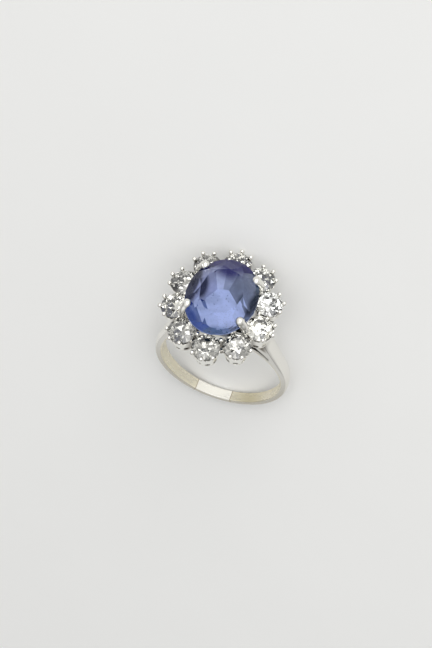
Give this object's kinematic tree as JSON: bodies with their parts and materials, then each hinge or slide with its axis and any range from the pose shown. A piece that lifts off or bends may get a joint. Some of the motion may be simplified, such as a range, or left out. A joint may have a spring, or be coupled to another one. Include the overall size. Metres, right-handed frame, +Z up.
{
  "type": "cluster ring",
  "caption": "Finger ring with an oval centre stone in claws, a halo of round stones in coronet collets, and a slim domed shank with forked shoulders.",
  "frame": {"origin": "on the surface that the ring lies on, under the middle of its outline", "axes": "+Z up from that surface; +Y from the foot of the shank towards the head; X across the finger hole"},
  "size_m": [0.0186, 0.0262, 0.0166],
  "materials": {
    "white_gold": "polished white gold",
    "sapphire": "polished, faceted",
    "diamond": "polished, faceted"
  },
  "bodies": {
    "root": {"mount": "white_gold", "centre_stone": "sapphire", "diamond_01": "diamond", "diamond_02": "diamond", "diamond_03": "diamond", "diamond_04": "diamond", "diamond_05": "diamond", "diamond_06": "diamond", "diamond_07": "diamond", "diamond_08": "diamond", "diamond_09": "diamond", "diamond_10": "diamond"}
  },
  "joints": []
}
